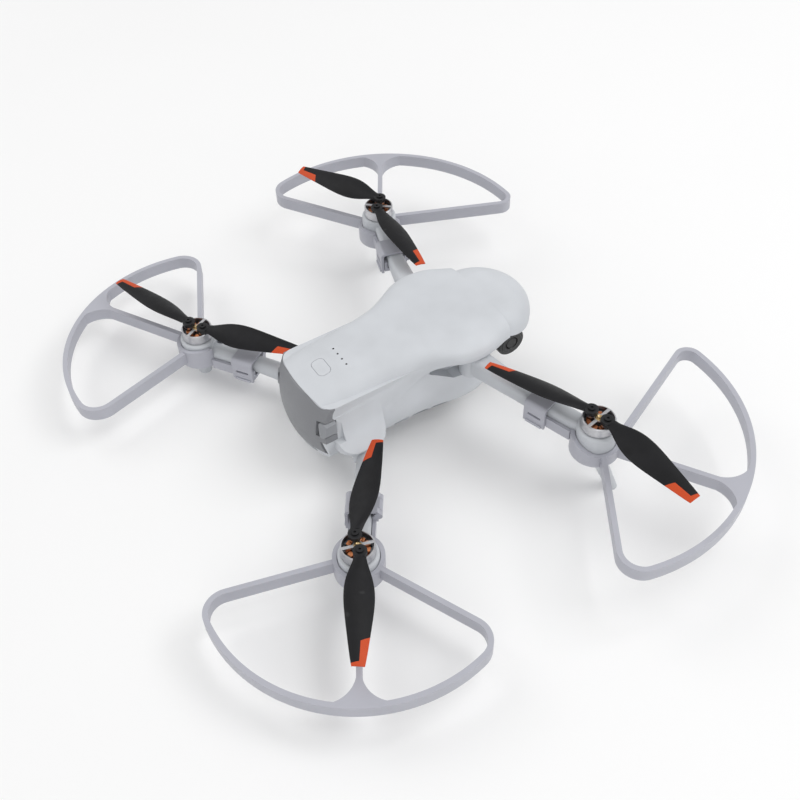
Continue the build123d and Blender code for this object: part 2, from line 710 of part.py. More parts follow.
with BuildPart() as rear_arm:
    low, high = REAR_BEAM
    middle = (low + high) / 2
    add(disc(REAR_MOUNT_BOTTOM, MOUNT_R, REAR_BLADE_Z - MOUNT_TOP - REAR_MOUNT_BOTTOM))
    fillet(rear_arm.edges().group_by(Axis.Z)[-1], 1.4)
    add(beam([(-2.0, middle, BEAM_WIDTH, high - low, 4.2), (-BEAM_STRAIGHT, middle, BEAM_WIDTH, high - low, 4.2),
              (3.0 - REAR_LENGTH, REAR_HINGE_Z, 10.0, 10.0, 4.6)]))
    add(cylinder_along(knuckle_centre - knuckle_axis * 4.2, knuckle_axis, KNUCKLE_R, 8.4))
    add(cylinder_along(knuckle_centre - knuckle_axis * 9, knuckle_axis, HINGE_PIN_R + RUNNING, 15.0),
        mode=Mode.SUBTRACT)
    with BuildSketch(Plane.XY.offset(REAR_MOUNT_BOTTOM + 0.5)):
        Circle(6.0)
    with BuildSketch(Plane.XY):
        Circle(3.6)
    loft()
    add(disc(REAR_BLADE_Z - MOUNT_TOP - 4.0, 1.1, 6.0), mode=Mode.SUBTRACT)


# ---------------------------------------------------------------- motor
def make_stator(blade_z):
    """Iron core: base flange, hub and teeth."""
    base = blade_z - MOUNT_TOP
    top = blade_z - STATOR_TOP
    with BuildPart() as stator:
        add(disc(base, 6.4, 0.7))
        add(disc(base + 0.7, 2.8, top - base - 0.7))
        for i in range(COILS):
            with BuildSketch(Plane(origin=(0, 0, base + 1.8), x_dir=(cos(radians(360 * i / COILS)),
                                                                     sin(radians(360 * i / COILS)), 0))):
                with Locations((4.4, 0)):
                    Rectangle(4.0, 1.0)
                with Locations((6.2, 0)):
                    RectangleRounded(0.8, 2.8, 0.3)
            extrude(amount=top - base - 2.6)
        add(disc(base - 1, SHAFT_R + 0.06, 12.0), mode=Mode.SUBTRACT)
    return stator.part


def make_windings(blade_z):
    """One copper coil around each tooth."""
    base = blade_z - MOUNT_TOP
    top = blade_z - STATOR_TOP
    with BuildPart() as windings:
        for i in range(COILS):
            radial = Plane(origin=(0, 0, base + 1.2), x_dir=(cos(radians(360 * i / COILS)),
                                                              sin(radians(360 * i / COILS)), 0))
            with BuildSketch(radial):
                with Locations((4.6, 0)):
                    RectangleRounded(2.2, 2.5, 0.5)
            extrude(amount=top - base - 1.4)
            with BuildSketch(radial.offset(0.55)):
                with Locations((4.6, 0)):
                    Rectangle(3.0, 1.04)
            extrude(amount=top - base - 2.5, mode=Mode.SUBTRACT)
    return windings.part


def make_bell():
    """Spinning motor bell, with the blade plane at z = 0 and its two blade pads along X."""
    with BuildPart() as bell:
        with BuildSketch(Plane.XY.offset(-BELL_BOTTOM)):
            Circle(BELL_R)
            Circle(BELL_R - BELL_WALL, mode=Mode.SUBTRACT)
        extrude(amount=BELL_BOTTOM - BELL_TOP)
        chamfer(bell.edges().group_by(Axis.Z)[-1].sort_by(SortBy.LENGTH)[-1], 0.3)
        with BuildSketch(Plane.XY.offset(-BELL_TOP - BELL_PLATE)):
            Circle(2.4)
            Rectangle(2 * BELL_R - 1.0, 2.4)
            Rectangle(1.6, 2 * BELL_R - 1.0)
            with Locations((PIN_OFFSET, 0), (-PIN_OFFSET, 0)):
                Circle(PAD_R)
        extrude(amount=BELL_PLATE)
        with BuildSketch(Plane.XY.offset(-BELL_TOP)):
            with Locations((PIN_OFFSET, 0), (-PIN_OFFSET, 0)):
                Circle(2.2)
        extrude(amount=PAD_RISE)
        with BuildSketch(Plane.XY.offset(-MOUNT_TOP - 3.0)):
            Circle(SHAFT_R)
        extrude(amount=MOUNT_TOP + 3.0 - BELL_TOP + 0.5)
        with BuildSketch(Plane.XY.offset(-BELL_TOP - 2)):
            with Locations((PIN_OFFSET, 0), (-PIN_OFFSET, 0)):
                Circle(SCREW_R + 0.02)
        extrude(amount=4, mode=Mode.SUBTRACT)
    return bell.part


def make_screws():
    """Two pan-head screws that pin the blade roots to the bell."""
    with BuildPart() as screws:
        for x in (PIN_OFFSET, -PIN_OFFSET):
            with BuildSketch(Plane.XY.offset(-BELL_TOP - BELL_PLATE)):
                with Locations((x, 0)):
                    Circle(SCREW_R)
            extrude(amount=BELL_TOP + BELL_PLATE)
            with BuildSketch(Plane.XY.offset(-ROOT_TOP + 0.1)):
                with Locations((x, 0)):
                    Circle(SCREW_HEAD_R)
                    RegularPolygon(0.7, 6, mode=Mode.SUBTRACT)
            extrude(amount=0.9)
            with BuildSketch(Plane.XY.offset(-ROOT_TOP + 0.1)):
                with Locations((x, 0)):
                    Circle(SCREW_HEAD_R - 0.4)
            extrude(amount=0.3)
    return screws.part


# blade stations: distance from the pin, chord, pitch, thickness
BLADE = [
    (2.6, 5.6, 6.0, 1.7), (8.0, 8.2, 14.0, 1.5), (15.0, 12.4, 19.0, 1.3), (22.0, 13.8, 18.0, 1.2),
    (30.0, 12.8, 15.5, 1.1), (40.0, 10.2, 12.5, 1.0), (50.0, 7.4, 10.0, 0.8), (BLADE_LENGTH, 5.6, 9.0, 0.6),
]


def make_blade():
    """Left-hand blade along +X from its pin, a twisted and cambered leaf."""
    middle = -(ROOT_TOP + ROOT_BOTTOM) / 2
    with BuildPart() as blade:
        for distance, chord, pitch, thickness in BLADE:
            tilt = radians(pitch)
            station = Plane(origin=(distance, 0, middle), x_dir=(0, cos(tilt), sin(tilt)), z_dir=(1, 0, 0))
            with BuildSketch(station):
                with BuildLine():
                    half = chord / 2
                    edge = 0.15
                    ThreePointArc((-half, -edge), (0, chord * 0.05 - thickness / 2), (half, -edge))
                    Line((half, -edge), (half, edge))
                    ThreePointArc((half, edge), (0, chord * 0.05 + thickness / 2), (-half, edge))
                    Line((-half, edge), (-half, -edge))
                make_face()
        loft()
        with BuildSketch(Plane.XY.offset(-ROOT_BOTTOM)):
            Circle(ROOT_R)
        extrude(amount=ROOT_BOTTOM - ROOT_TOP)
        with BuildSketch(Plane.XY.offset(-ROOT_BOTTOM - 2)):
            Circle(SCREW_R + RUNNING)
        extrude(amount=8, mode=Mode.SUBTRACT)
        # clear the pad below the root and the screw head above it
        add(disc(-ROOT_BOTTOM - 4, ROOT_R + 0.3, 4.0), mode=Mode.SUBTRACT)
        add(disc(-ROOT_TOP, SCREW_HEAD_R + 0.3, 4.0), mode=Mode.SUBTRACT)
    return blade.part


# ---------------------------------------------------------------- guards
def bow_side(lean, shift, corner, centre, radius):
    """Points of one side of a guard's outline, as a list for the straight spoke and two arcs.

    lean is the spoke's angle from the guard's axis, shift its distance from the rotor axis, corner
    the fillet radius where it meets the outer bow, whose centre and radius are the last two.
    """
    along = Vector(cos(lean), sin(lean))
    across = Vector(-sin(lean), cos(lean))
    bow = Vector(*centre)
    start = across * (shift - corner) - bow
    reach = -start.dot(along) + sqrt(start.dot(along) ** 2 - start.dot(start) + (radius - corner) ** 2)
    fillet_centre = across * (shift - corner) + along * reach
    outward = (fillet_centre - bow).normalized()
    halfway = (across + outward).normalized()
    return {
        "root": across * shift + along * 10.4,
        "bend": fillet_centre + across * corner,
        "bend_middle": fillet_centre + halfway * corner,
        "bow": fillet_centre + outward * corner,
    }


def make_guard(guard, beam_heights, azimuth, blade_z):
    """Guard under one rotor: outer bow, three spokes, ring round the motor mount and arm saddle."""
    top = blade_z - guard["drop"]
    low = top - BAND_HEIGHT
    beam_low, beam_high = beam_heights
    bow = Vector(*guard["centre"])
    first = bow_side(*guard["first"], guard["centre"], guard["radius"])
    flipped = (guard["centre"][0], -guard["centre"][1])
    second = {key: Vector(point.X, -point.Y)
              for key, point in bow_side(*guard["second"], flipped, guard["radius"]).items()}
    tip = bow + Vector(sqrt(guard["radius"] ** 2 - bow.Y ** 2), -bow.Y)
    turn = radians(guard["azimuth"] - azimuth)
    outline_plane = Plane(origin=(0, 0, low), x_dir=(cos(turn), sin(turn), 0))
    ring_low = guard["ring_low"]
    barrel_z = beam_high - 1.9
    with BuildPart() as part:
        with BuildSketch(outline_plane):
            with BuildLine():
                Line(first["root"], first["bend"])
                ThreePointArc(first["bend"], first["bend_middle"], first["bow"])
                ThreePointArc(first["bow"], bow_point(bow, guard["radius"], first["bow"], tip), tip)
                ThreePointArc(tip, bow_point(bow, guard["radius"], tip, second["bow"]), second["bow"])
                ThreePointArc(second["bow"], second["bend_middle"], second["bend"])
                Line(second["bend"], second["root"])
                Line((10.4, 0), tip - Vector(0.6, 0))
            trace(line_width=BAND_WIDTH)
            # flared web where the middle spoke meets the bow
            with BuildLine():
                ThreePointArc((tip.X - 15, 1.0), (tip.X - 6.5, 4.2), (tip.X - 1.6, 13.0))
                ThreePointArc((tip.X - 1.6, 13.0), (tip.X - 0.4, 0), (tip.X - 1.6, -13.0))
                ThreePointArc((tip.X - 1.6, -13.0), (tip.X - 6.5, -4.2), (tip.X - 15, -1.0))
                Line((tip.X - 15, -1.0), (tip.X - 15, 1.0))
            make_face()
        extrude(amount=BAND_HEIGHT)
        # ring and its floor lip; the ring rises towards the arm
        rise = top + guard["ring_rise"]
        with BuildSketch(Plane.XY.offset(ring_low)):
            Circle(RING_OUT)
        extrude(amount=rise - ring_low)
        with BuildSketch(Plane.XZ.offset(-30)):
            Polygon((-5.0, rise + 0.1), (6.0, top), (60, top), (60, rise + 0.1), align=None)
        extrude(amount=60, mode=Mode.SUBTRACT)
        add(disc(ring_low - 1, RING_IN - 1.9, 60), mode=Mode.SUBTRACT)
        add(disc(ring_low + 1.5, RING_IN, 60), mode=Mode.SUBTRACT)
        # saddle under the arm: floor and two rails
        with BuildSketch(along_plane(-CLIP_FAR, beam_low)):
            for side in (-1, 1):
                with Locations((side * (RAIL_IN + RAIL_OUT) / 2, 1.0)):
                    Rectangle(RAIL_OUT - RAIL_IN, 6.0)
            with Locations((0, -1.15)):
                Rectangle(2 * RAIL_OUT, 1.7)
        extrude(amount=CLIP_FAR - 10.6)
        # hinge knuckles and pin of the clip
        for near in (-CLIP_FAR, -CLIP_NEAR - 2.8):
            with BuildSketch(along_plane(near, barrel_z)):
                with Locations((-BARREL_OUT, 0)):
                    Circle(BARREL_R)
                with Locations((-(BARREL_OUT + RAIL_IN) / 2 - 0.2, -1.9)):
                    Rectangle(2.4, 3.8)
                with Locations((-(RAIL_OUT + RAIL_IN) / 2, -2.6)):
                    Rectangle(RAIL_OUT - RAIL_IN, 4.6)
            extrude(amount=2.8)
        with BuildSketch(along_plane(-CLIP_FAR, barrel_z)):
            with Locations((-BARREL_OUT, 0)):
                Circle(0.8)
        extrude(amount=CLIP_FAR - CLIP_NEAR)
        # room for the mount and the arm
        add(disc(ring_low + 1.5, RING_IN, 60), mode=Mode.SUBTRACT)
        add(block((-60, -RAIL_IN, beam_low - 0.3), (0, RAIL_IN, 90)), mode=Mode.SUBTRACT)
    return part.part


def bow_point(centre, radius, start, end):
    """Middle point of an arc about a centre."""
    return centre + ((start - centre).normalized() + (end - centre).normalized()).normalized() * radius


def make_clip(beam_heights):
    """Hinged clip over the arm, with a finger grip slot in its outer side."""
    beam_high = beam_heights[1]
    under = beam_high + 0.3
    barrel_z = beam_high - 1.9
    side_low = beam_high - 11.4
    with BuildPart() as clip:
        with BuildSketch(along_plane(-CLIP_FAR + 3.0, barrel_z)):
            with Locations((-BARREL_OUT, 0)):
                Circle(BARREL_R)
            with Locations((-BARREL_OUT + 0.9, 1.8)):
                Rectangle(3.0, 3.6)
        extrude(amount=CLIP_FAR - CLIP_NEAR - 6.0)
        with BuildSketch(along_plane(-CLIP_FAR, 0)):
            with BuildLine():
                side_in = RAIL_OUT + 0.3
                side_out = side_in + CLIP_WALL
                Polyline((side_in - 0.9, under), (side_in, under - 0.9), (side_in, side_low),
                         (side_out, side_low), (side_out, under - 1.0))
                ThreePointArc((side_out, under - 1.0), (side_in + 0.7, under + 0.75),
                              (RAIL_OUT - 0.7, under + CLIP_WALL))
                Polyline((RAIL_OUT - 0.7, under + CLIP_WALL), (-BARREL_OUT + 0.4, under + CLIP_WALL),
                         (-BARREL_OUT - 0.6, under), (side_in - 0.9, under))
            make_face()
        extrude(amount=CLIP_FAR - CLIP_NEAR)
        with BuildSketch(along_plane(-CLIP_FAR + 3.0, barrel_z)):
            with Locations((-BARREL_OUT, 0)):
                Circle(0.86)
        extrude(amount=CLIP_FAR - CLIP_NEAR - 6.0, mode=Mode.SUBTRACT)
        with BuildSketch(Plane.XZ.offset(-RAIL_OUT)):
            with Locations((-(CLIP_FAR + CLIP_NEAR) / 2, side_low + 5.6)):
                SlotOverall(7.6, 1.5)
        extrude(amount=-4.0, mode=Mode.SUBTRACT)
        # pull lip along the free edge
        with BuildSketch(along_plane(-CLIP_FAR + 1.5, side_low)):
            with Locations((RAIL_OUT + 0.3 + CLIP_WALL, 0.7)):
                Rectangle(1.2, 1.4)
        extrude(amount=CLIP_FAR - CLIP_NEAR - 3.0)
    return clip.part


FRONT_GUARD = {
    "drop": 17.8, "azimuth": -32.1, "centre": (-12.9, -2.6), "radius": 84.4, "ring_low": 29.2, "ring_rise": 3.6,
    "first": (radians(64.8), -2.5, 9.7), "second": (radians(81.1), -8.5, 6.3),
}
REAR_GUARD = {
    "drop": 12.4, "azimuth": 30.9, "centre": (-2.4, -1.1), "radius": 73.8, "ring_low": 12.0, "ring_rise": 1.6,
    "first": (radians(74.3), 1.3, 10.3), "second": (radians(55.4), 0.5, 10.5),
}
# pin azimuth, then each blade's azimuth, at rest
BLADE_ANGLES = {
    "front_left": (318.0, 25.6, 173.3), "front_right": (11.1, 24.5, 181.9),
    "rear_right": (342.4, 317.9, 148.2), "rear_left": (27.8, 19.0, 217.9),
}

corners = {
    "front": (FRONT_ROTOR, FRONT_AZIMUTH, FRONT_BLADE_Z, FRONT_BEAM, front_arm.part, FRONT_GUARD),
    "rear": (REAR_ROTOR, REAR_AZIMUTH, REAR_BLADE_Z, REAR_BEAM, rear_arm.part, REAR_GUARD),
}
for end, (rotor, azimuth, blade_z, beam_heights, arm, guard) in corners.items():
    place = Location((*rotor, 0), (0, 0, azimuth))
    save_both(place * arm, f"{end}_arm")
    save_both(place * make_stator(blade_z), f"{end}_stator")
    save_both(place * make_windings(blade_z), f"{end}_windings")
    save_both(place * make_guard(guard, beam_heights, azimuth, blade_z), f"{end}_guard")
    save_both(place * make_clip(beam_heights), f"{end}_guard_clip")

bell_shape = make_bell()
screws_shape = make_screws()
left_blade = make_blade()
right_blade = mirror(left_blade, about=Plane.XZ)
for corner, (pin_azimuth, *blade_azimuths) in BLADE_ANGLES.items():
    rotor, _, blade_z, _, _, _ = corners[corner.split("_")[0]]
    centre = Vector(rotor[0] if corner.endswith("left") else -rotor[0], rotor[1], blade_z)
    hub_place = Location(centre, (0, 0, pin_azimuth))
    save(hub_place * bell_shape, f"{corner}_bell")
    save(hub_place * screws_shape, f"{corner}_blade_screws")
    for index, blade_azimuth in enumerate(blade_azimuths):
        pin_angle = radians(pin_azimuth + 180 * index)
        pin = centre + Vector(cos(pin_angle), sin(pin_angle)) * PIN_OFFSET
        blade = left_blade if corner in ("front_right", "rear_left") else right_blade
        save(Location(pin, (0, 0, blade_azimuth)) * blade, f"{corner}_blade_{'ab'[index]}")
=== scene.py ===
"""Looks of the folding palm camera drone: materials, small detail pieces, floor, light and camera."""

import json
from math import cos, pi, radians, sin

import bmesh
import bpy
from mathutils import Matrix, Vector


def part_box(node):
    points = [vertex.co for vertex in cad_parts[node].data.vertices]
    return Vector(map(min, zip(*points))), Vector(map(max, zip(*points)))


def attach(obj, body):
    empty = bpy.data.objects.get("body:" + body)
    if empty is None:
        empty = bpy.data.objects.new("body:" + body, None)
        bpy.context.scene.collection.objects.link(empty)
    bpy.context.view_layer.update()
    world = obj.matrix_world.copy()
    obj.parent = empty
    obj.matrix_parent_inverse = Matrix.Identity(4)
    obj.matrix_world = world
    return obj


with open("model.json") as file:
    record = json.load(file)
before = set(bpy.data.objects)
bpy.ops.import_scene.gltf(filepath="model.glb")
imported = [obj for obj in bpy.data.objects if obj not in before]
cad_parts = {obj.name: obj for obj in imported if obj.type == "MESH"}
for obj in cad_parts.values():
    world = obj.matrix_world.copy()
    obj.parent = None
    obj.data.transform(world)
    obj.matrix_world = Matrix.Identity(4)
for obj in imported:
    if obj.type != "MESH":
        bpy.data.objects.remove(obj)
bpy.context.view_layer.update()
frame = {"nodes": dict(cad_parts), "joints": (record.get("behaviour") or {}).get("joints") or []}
nodes = frame["nodes"]
joints = {joint["name"]: joint for joint in frame["joints"]}

CORNERS = ("front_left", "front_right", "rear_left", "rear_right")
SIDES = ("left", "right")


# ---------------------------------------------------------------- node helpers
class Shader:
    """A material's node tree, with short calls for the nodes used here."""

    def __init__(self, name):
        self.material = bpy.data.materials.new(name)
        self.material.use_nodes = True
        self.tree = self.material.node_tree
        self.bsdf = self.tree.nodes["Principled BSDF"]
        self.position = self.node("ShaderNodeTexCoord").outputs["Object"]

    def node(self, kind, **settings):
        node = self.tree.nodes.new(kind)
        for key, value in settings.items():
            setattr(node, key, value)
        return node

    def plug(self, socket, value):
        """Link a socket, or set a constant."""
        if isinstance(value, bpy.types.NodeSocket):
            self.tree.links.new(value, socket)
        else:
            socket.default_value = value

    def noise(self, scale, detail=3.0, roughness=0.55, vector=None):
        node = self.node("ShaderNodeTexNoise")
        self.plug(node.inputs["Vector"], vector or self.position)
        node.inputs["Scale"].default_value = scale
        node.inputs["Detail"].default_value = detail
        node.inputs["Roughness"].default_value = roughness
        return node.outputs["Fac"]

    def voronoi(self, scale, feature="F1"):
        node = self.node("ShaderNodeTexVoronoi", feature=feature)
        self.plug(node.inputs["Vector"], self.position)
        node.inputs["Scale"].default_value = scale
        return node.outputs["Distance"]

    def stretch(self, factors):
        """Position scaled along each axis."""
        node = self.node("ShaderNodeVectorMath", operation="MULTIPLY")
        self.plug(node.inputs[0], self.position)
        node.inputs[1].default_value = factors
        return node.outputs[0]

    def math(self, operation, first, second=0.0):
        node = self.node("ShaderNodeMath", operation=operation)
        self.plug(node.inputs[0], first)
        self.plug(node.inputs[1], second)
        return node.outputs[0]

    def ramp(self, value, low, high, start=0.0, end=1.0):
        """Value remapped from low..high to start..end, clamped."""
        node = self.node("ShaderNodeMapRange")
        self.plug(node.inputs["Value"], value)
        node.inputs["From Min"].default_value = low
        node.inputs["From Max"].default_value = high
        node.inputs["To Min"].default_value = start
        node.inputs["To Max"].default_value = end
        return node.outputs["Result"]

    def mix(self, factor, first, second):
        node = self.node("ShaderNodeMix", data_type="RGBA")
        self.plug(node.inputs[0], factor)
        for socket, value in ((node.inputs[6], first), (node.inputs[7], second)):
            self.plug(socket, value if isinstance(value, bpy.types.NodeSocket) else (*value, 1.0))
        return node.outputs[2]

    def along(self, origin, direction):
        """Distance of the surface point from origin, measured along a direction."""
        offset = self.node("ShaderNodeVectorMath", operation="SUBTRACT")
        self.plug(offset.inputs[0], self.position)
        offset.inputs[1].default_value = origin
        dot = self.node("ShaderNodeVectorMath", operation="DOT_PRODUCT")
        self.plug(dot.inputs[0], offset.outputs[0])
        dot.inputs[1].default_value = direction
        return dot.outputs["Value"]

    def painted_edge_highlight(self):
        """High on convex edges, low elsewhere; the mask of a painted highlight along edges."""
        return self.ramp(self.node("ShaderNodeNewGeometry").outputs["Pointiness"], 0.51, 0.6)

    def bump(self, layers):
        """Stack bump layers given as (height, strength, distance)."""
        normal = None
        for height, strength, distance in layers:
            node = self.node("ShaderNodeBump")
            node.inputs["Strength"].default_value = strength
            node.inputs["Distance"].default_value = distance
            self.plug(node.inputs["Height"], height)
            if normal:
                self.plug(node.inputs["Normal"], normal)
            normal = node.outputs["Normal"]
        self.plug(self.bsdf.inputs["Normal"], normal)

    def finish(self, color, roughness, metallic=0.0, **constants):
        self.plug(self.bsdf.inputs["Base Color"], color)
        self.plug(self.bsdf.inputs["Roughness"], roughness)
        self.bsdf.inputs["Metallic"].default_value = metallic
        for name, value in constants.items():
            self.bsdf.inputs[name.replace("_", " ")].default_value = value
        return self.material


def moulded_plastic(name, color, roughness=0.5, grain=0.5, grain_scale=3200.0, shade=0.06, specular=0.4):
    """Moulded plastic with a spark-eroded grain, cloudy tone and a painted highlight on convex edges."""
    shader = Shader(name)
    cloud = shader.noise(45.0, 2.0)
    speckle = shader.noise(grain_scale, 2.0, 0.6)
    darker = tuple(channel * (1.0 - shade) for channel in color)
    lighter = tuple(min(1.0, channel * (1.0 + shade)) for channel in color)
    tone = shader.mix(shader.ramp(cloud, 0.3, 0.7), darker, lighter)
    tone = shader.mix(shader.ramp(speckle, 0.35, 0.75, 0.0, 0.35), tone, darker)
    # painted highlight: convex edges are lighter in colour
    highlighted_tone = shader.mix(shader.math("MULTIPLY", shader.painted_edge_highlight(), 0.35), tone, lighter)
    rough = shader.ramp(shader.noise(180.0, 3.0), 0.3, 0.7, roughness - 0.05, roughness + 0.07)
    shader.bump([(speckle, grain, 0.00008), (shader.noise(60.0, 2.0), 0.05, 0.0006)])
    return shader.finish(highlighted_tone, rough, Specular_IOR_Level=specular)


def brushed_metal(name, color, roughness=0.3, stretch=(1.0, 1.0, 12.0), scale=900.0, metallic=1.0):
    """Metal with fine tool marks and a little tarnish."""
    shader = Shader(name)
    marks = shader.noise(scale, 3.0, 0.6, shader.stretch(stretch))
    tarnish = shader.noise(220.0, 3.0)
    darker = tuple(channel * 0.8 for channel in color)
    tone = shader.mix(shader.ramp(tarnish, 0.35, 0.7), color, darker)
    tone = shader.mix(shader.ramp(marks, 0.4, 0.7, 0.0, 0.3), tone, tuple(min(1.0, c * 1.15) for c in color))
    rough = shader.ramp(marks, 0.3, 0.7, roughness - 0.06, roughness + 0.1)
    shader.bump([(marks, 0.25, 0.00005)])
    return shader.finish(tone, rough, metallic)


def copper_wire(name):
    """Enamelled copper wound in fine turns round each tooth, with painted shade in the grooves between turns
    and a painted highlight on their crests.
    """
    shader = Shader(name)
    wave = shader.node("ShaderNodeTexWave", wave_type="BANDS", bands_direction="Z")
    shader.plug(wave.inputs["Vector"], shader.position)
    wave.inputs["Scale"].default_value = 950.0
    wave.inputs["Distortion"].default_value = 0.6
    turns = wave.outputs["Fac"]
    # painted shade and highlight: dark bands between the turns, bright bands on their crests
    tone = shader.mix(turns, (0.20, 0.055, 0.02), (0.80, 0.30, 0.12))
    tone = shader.mix(shader.ramp(shader.noise(400.0), 0.35, 0.7, 0.0, 0.5), tone, (0.55, 0.17, 0.06))
    shader.bump([(turns, 0.9, 0.00012)])
    return shader.finish(tone, shader.ramp(turns, 0.0, 1.0, 0.42, 0.24), 0.85, Coat_Weight=0.4)


def dark_glass(name, color):
    """Smoked or coated glass with faint dust."""
    shader = Shader(name)
    dust = shader.ramp(shader.noise(900.0, 4.0), 0.6, 0.75, 0.0, 0.12)
    tone = shader.mix(dust, color, (0.35, 0.36, 0.4))
    rough = shader.ramp(shader.noise(300.0), 0.3, 0.7, 0.04, 0.12)
    return shader.finish(tone, rough, 0.0, IOR=1.6, Coat_Weight=0.8, Coat_Roughness=0.03)


def blade_plastic(name, pin, direction, side):
    """Black blade plastic with an orange patch over the tip and up one edge."""
    shader = Shader(name)
    across = Vector((-direction.y, direction.x, 0.0)) * side
    reach = shader.along(pin, direction)
    edge = shader.along(pin, across)
    # the blade narrows outward, so the stripe's inner border slants with it
    border = shader.math("SUBTRACT", STRIPE_BORDER, shader.math("MULTIPLY", reach, STRIPE_TAPER))
    stripe = shader.math("GREATER_THAN", edge, border)
    start_reach = shader.math("ADD", reach, shader.math("MULTIPLY", edge, START_SLANT))
    start = shader.math("GREATER_THAN", start_reach, PATCH_START)
    tip_reach = shader.math("ADD", reach, shader.math("MULTIPLY", edge, TIP_SLANT))
    tip = shader.math("GREATER_THAN", tip_reach, PATCH_TIP)
    patch = shader.math("MAXIMUM", shader.math("MULTIPLY", stripe, start), tip)
    speckle = shader.noise(3800.0, 2.0, 0.6)
    cloud = shader.ramp(shader.noise(90.0), 0.3, 0.7)
    black = shader.mix(cloud, (0.004, 0.004, 0.005), (0.008, 0.008, 0.010))
    # painted highlight: the black is lighter on convex edges
    black = shader.mix(shader.math("MULTIPLY", shader.painted_edge_highlight(), 0.4), black, (0.04, 0.04, 0.042))
    orange = shader.mix(shader.ramp(speckle, 0.3, 0.7), (0.52, 0.058, 0.012), (0.62, 0.082, 0.02))
    rough = shader.ramp(shader.noise(240.0), 0.3, 0.7, 0.42, 0.52)
    shader.bump([(speckle, 0.55, 0.00007), (shader.noise(70.0, 2.0), 0.06, 0.0005)])
    return shader.finish(shader.mix(patch, black, orange), rough, Specular_IOR_Level=0.25)


def board_green(name):
    """Solder mask with tracks and pads."""
    shader = Shader(name)
    cells = shader.voronoi(420.0, "DISTANCE_TO_EDGE")
    tracks = shader.ramp(cells, 0.02, 0.05, 1.0, 0.0)
    tone = shader.mix(tracks, (0.01, 0.09, 0.04), (0.03, 0.2, 0.09))
    tone = shader.mix(shader.ramp(shader.voronoi(900.0), 0.06, 0.1, 1.0, 0.0), tone, (0.75, 0.6, 0.3))
    shader.bump([(tracks, 0.4, 0.00005)])
    return shader.finish(tone, shader.ramp(tracks, 0.0, 1.0, 0.35, 0.28), Coat_Weight=0.3)


# ---------------------------------------------------------------- materials of the CAD nodes
# the blades' orange patch, in metres out from the hinge pin and across the blade
PATCH_START = 0.0445
START_SLANT = 0.55
PATCH_TIP = 0.0532
TIP_SLANT = 0.25
STRIPE_BORDER = 0.0031
STRIPE_TAPER = 0.050
# blade points further than this from the pin give the blade's heading
TIP_ZONE = 0.05

shell_grey = moulded_plastic("shell_grey", (0.60, 0.62, 0.65), 0.55, 0.55)
cap_grey = moulded_plastic("cap_grey", (0.235, 0.24, 0.255), 0.48, 0.5)
latch_grey = moulded_plastic("latch_grey", (0.30, 0.31, 0.33), 0.42, 0.35)
guard_plastic = moulded_plastic("guard_plastic", (0.43, 0.435, 0.485), 0.38, 0.25, 2200.0, 0.05, 0.5)
arm_grey = moulded_plastic("arm_grey", (0.56, 0.58, 0.61), 0.45, 0.4)
camera_black = moulded_plastic("camera_black", (0.012, 0.012, 0.013), 0.33, 0.3, 3600.0, 0.25, 0.5)
inner_plastic = moulded_plastic("inner_plastic", (0.035, 0.035, 0.038), 0.5, 0.5, 2600.0, 0.2)
light_lens = moulded_plastic("light_lens", (0.02, 0.02, 0.022), 0.2, 0.1, 3000.0, 0.1, 0.6)
bell_silver = brushed_metal("bell_silver", (0.60, 0.60, 0.62), 0.34, (1.0, 1.0, 9.0), 1200.0)
core_steel = brushed_metal("core_steel", (0.24, 0.24, 0.25), 0.42, (1.0, 1.0, 30.0), 700.0)
pin_steel = brushed_metal("pin_steel", (0.5, 0.5, 0.51), 0.3)
screw_black = brushed_metal("screw_black", (0.035, 0.035, 0.037), 0.36, (1.0, 1.0, 1.0), 1600.0, 0.8)
port_metal = brushed_metal("port_metal", (0.16, 0.16, 0.165), 0.35)
sink_alloy = brushed_metal("sink_alloy", (0.5, 0.5, 0.52), 0.5, (1.0, 8.0, 1.0), 500.0)
cell_foil = brushed_metal("cell_foil", (0.42, 0.42, 0.44), 0.35, (8.0, 1.0, 1.0), 300.0)
ceramic = moulded_plastic("ceramic", (0.6, 0.52, 0.38), 0.6, 0.8, 1500.0, 0.1)
copper = copper_wire("copper_wire")
lens_glass = dark_glass("lens_glass", (0.01, 0.012, 0.02))
window_glass = dark_glass("window_glass", (0.012, 0.012, 0.014))
board = board_green("board_green")

FINISHES = {
    "top_shell": shell_grey, "bottom_shell": shell_grey, "power_button": shell_grey,
    "battery_cap": cap_grey, "battery_latch_left": latch_grey, "battery_latch_right": latch_grey,
    "led_light_guides": light_lens, "usb_port": port_metal, "shell_screws": pin_steel,
    "battery_bay": inner_plastic, "battery_contacts": inner_plastic, "battery_case": inner_plastic,
    "battery_cells": cell_foil, "main_board": board, "heat_sink": sink_alloy, "gps_module": ceramic,
    "sensor_module": inner_plastic, "sensor_window": window_glass, "camera_bracket": camera_black,
    "camera_tilt_motor": camera_black, "camera_housing": camera_black,
    "camera_lens_barrel": camera_black, "camera_lens_glass": lens_glass, "arm_hinge_pins": pin_steel,
}
for end in ("front", "rear"):
    for side in SIDES:
        FINISHES[f"{end}_arm_{side}"] = arm_grey
        FINISHES[f"{end}_stator_{side}"] = core_steel
        FINISHES[f"{end}_windings_{side}"] = copper
        FINISHES[f"{end}_guard_{side}"] = guard_plastic
        FINISHES[f"{end}_guard_clip_{side}"] = guard_plastic
